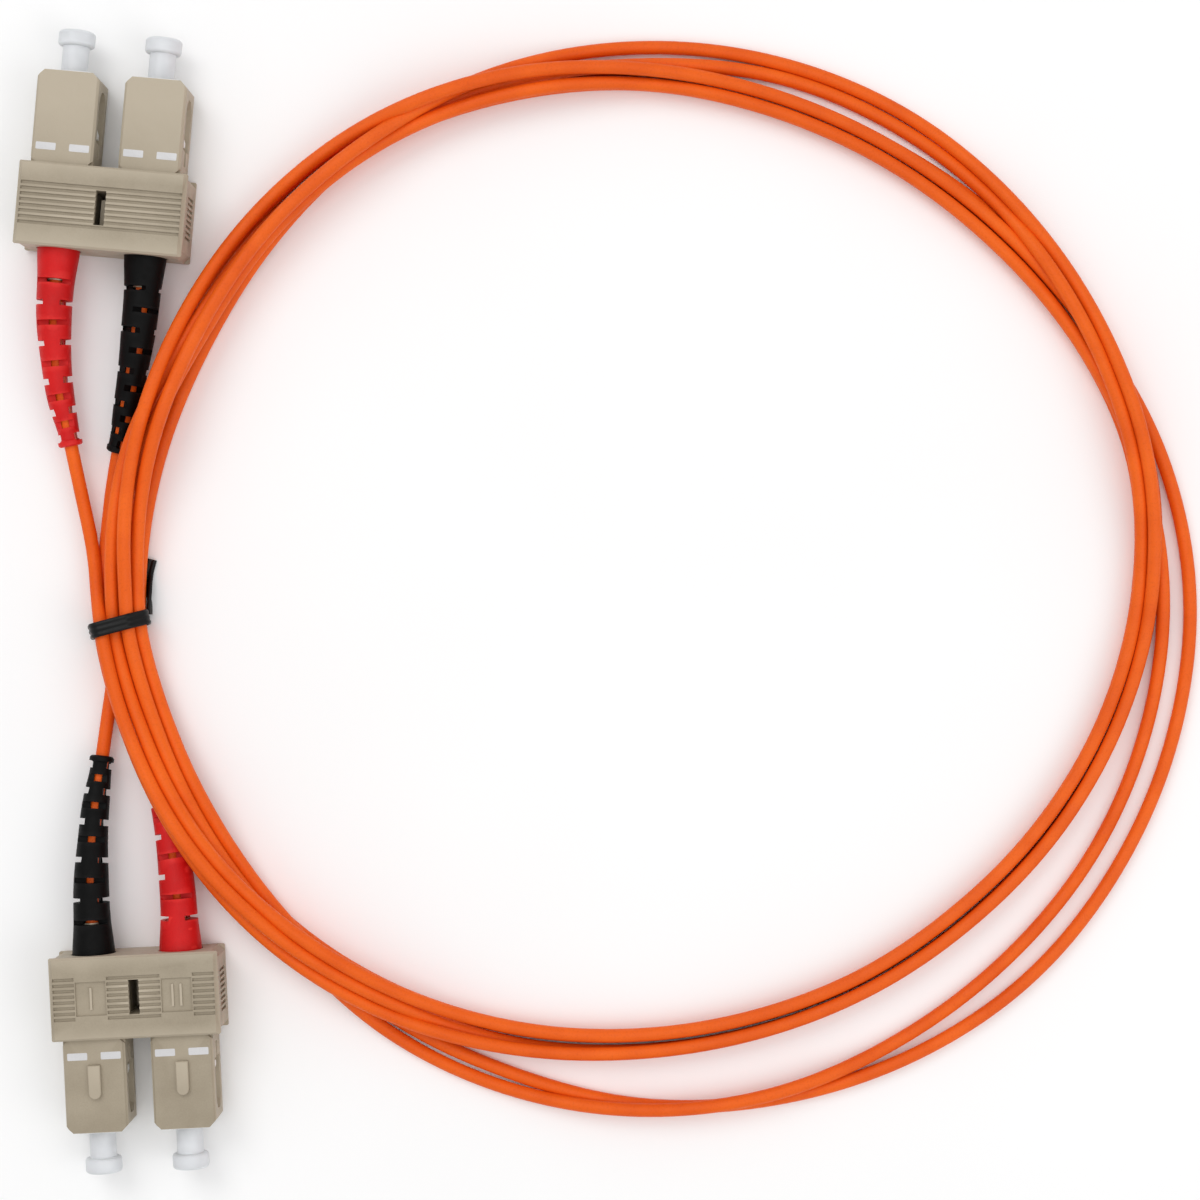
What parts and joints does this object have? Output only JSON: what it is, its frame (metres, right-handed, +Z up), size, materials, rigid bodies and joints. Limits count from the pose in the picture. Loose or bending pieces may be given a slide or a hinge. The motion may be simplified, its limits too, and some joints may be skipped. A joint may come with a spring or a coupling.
{
  "type": "fibre optic patch cord",
  "caption": "Coiled duplex patch cord of two slim round cords, with a clipped pair of square push-pull plugs, boots and dust caps at each end, tied with a flat wire tie.",
  "frame": {"origin": "on the table, under the middle of the box round the four connectors (their bottom centre)", "axes": "+Z up from the table; +Y from the end-2 plugs to the end-1 plugs, nearly along both; +X towards the coil"},
  "size_m": [0.1726, 0.1666, 0.0096],
  "materials": {
    "beige_plastic": "fine moulded satin",
    "white_plastic": "moulded satin",
    "white_ceramic": "ground and polished",
    "nickel": "turned, nickel plated",
    "glass_fibre": "clear",
    "spring_steel": "drawn wire",
    "aramid_yarn": "yarn",
    "crimp_brass": "crimped, plated",
    "clear_cap": "translucent moulded",
    "red_boot": "satin",
    "black_boot": "satin",
    "orange_jacket": "smooth satin",
    "black_tie": "ribbed, glossy"
  },
  "bodies": {
    "cords": {"cord_coil": "orange_jacket", "cord_tie": "black_tie", "cord_lead_red_1": "orange_jacket", "red_1_plug_frame": "white_plastic", "red_1_spring": "spring_steel", "red_1_back_post": "nickel", "red_1_aramid_sleeve": "aramid_yarn", "red_1_crimp_ring": "crimp_brass", "red_1_boot": "red_boot", "cord_lead_black_1": "orange_jacket", "black_1_plug_frame": "white_plastic", "black_1_spring": "spring_steel", "black_1_back_post": "nickel", "black_1_aramid_sleeve": "aramid_yarn", "black_1_crimp_ring": "crimp_brass", "black_1_boot": "black_boot", "cord_lead_red_2": "orange_jacket", "red_2_plug_frame": "white_plastic", "red_2_spring": "spring_steel", "red_2_back_post": "nickel", "red_2_aramid_sleeve": "aramid_yarn", "red_2_crimp_ring": "crimp_brass", "red_2_boot": "red_boot", "cord_lead_black_2": "orange_jacket", "black_2_plug_frame": "white_plastic", "black_2_spring": "spring_steel", "black_2_back_post": "nickel", "black_2_aramid_sleeve": "aramid_yarn", "black_2_crimp_ring": "crimp_brass", "black_2_boot": "black_boot"},
    "coupler_1": {"clip_1_upper": "beige_plastic", "clip_1_lower": "beige_plastic", "red_1_grip": "beige_plastic", "black_1_grip": "beige_plastic"},
    "coupler_2": {"clip_2_upper": "beige_plastic", "clip_2_lower": "beige_plastic", "red_2_grip": "beige_plastic", "black_2_grip": "beige_plastic"},
    "ferrule_red_1": {"red_1_ferrule": "white_ceramic", "red_1_ferrule_flange": "nickel", "red_1_fibre": "glass_fibre"},
    "cap_red_1": {"red_1_dust_cap": "clear_cap"},
    "ferrule_black_1": {"black_1_ferrule": "white_ceramic", "black_1_ferrule_flange": "nickel", "black_1_fibre": "glass_fibre"},
    "cap_black_1": {"black_1_dust_cap": "clear_cap"},
    "ferrule_red_2": {"red_2_ferrule": "white_ceramic", "red_2_ferrule_flange": "nickel", "red_2_fibre": "glass_fibre"},
    "cap_red_2": {"red_2_dust_cap": "clear_cap"},
    "ferrule_black_2": {"black_2_ferrule": "white_ceramic", "black_2_ferrule_flange": "nickel", "black_2_fibre": "glass_fibre"},
    "cap_black_2": {"black_2_dust_cap": "clear_cap"}
  },
  "joints": [
    {"name": "coupler_1_slide", "type": "slide", "parent": "cords", "child": "coupler_1", "axis": [0.0872, 0.9962, 0], "range_m": [-0.002, 0.0005]},
    {"name": "coupler_2_slide", "type": "slide", "parent": "cords", "child": "coupler_2", "axis": [0.0488, -0.9988, 0], "range_m": [-0.002, 0.0005]},
    {"name": "ferrule_red_1_slide", "type": "slide", "parent": "cords", "child": "ferrule_red_1", "axis": [0.0872, 0.9962, 0], "range_m": [-0.0015, 0], "stiffness_N_per_m": 800, "deforming": ["red_1_spring"]},
    {"name": "cap_red_1_pull", "type": "slide", "parent": "cords", "child": "cap_red_1", "axis": [0.0872, 0.9962, 0], "range_m": [0, 0.015]},
    {"name": "ferrule_black_1_slide", "type": "slide", "parent": "cords", "child": "ferrule_black_1", "axis": [0.0872, 0.9962, 0], "range_m": [-0.0015, 0], "stiffness_N_per_m": 800, "deforming": ["black_1_spring"]},
    {"name": "cap_black_1_pull", "type": "slide", "parent": "cords", "child": "cap_black_1", "axis": [0.0872, 0.9962, 0], "range_m": [0, 0.015]},
    {"name": "ferrule_red_2_slide", "type": "slide", "parent": "cords", "child": "ferrule_red_2", "axis": [0.0488, -0.9988, 0], "range_m": [-0.0015, 0], "stiffness_N_per_m": 800, "deforming": ["red_2_spring"]},
    {"name": "cap_red_2_pull", "type": "slide", "parent": "cords", "child": "cap_red_2", "axis": [0.0488, -0.9988, 0], "range_m": [0, 0.015]},
    {"name": "ferrule_black_2_slide", "type": "slide", "parent": "cords", "child": "ferrule_black_2", "axis": [0.0488, -0.9988, 0], "range_m": [-0.0015, 0], "stiffness_N_per_m": 800, "deforming": ["black_2_spring"]},
    {"name": "cap_black_2_pull", "type": "slide", "parent": "cords", "child": "cap_black_2", "axis": [0.0488, -0.9988, 0], "range_m": [0, 0.015]}
  ]
}
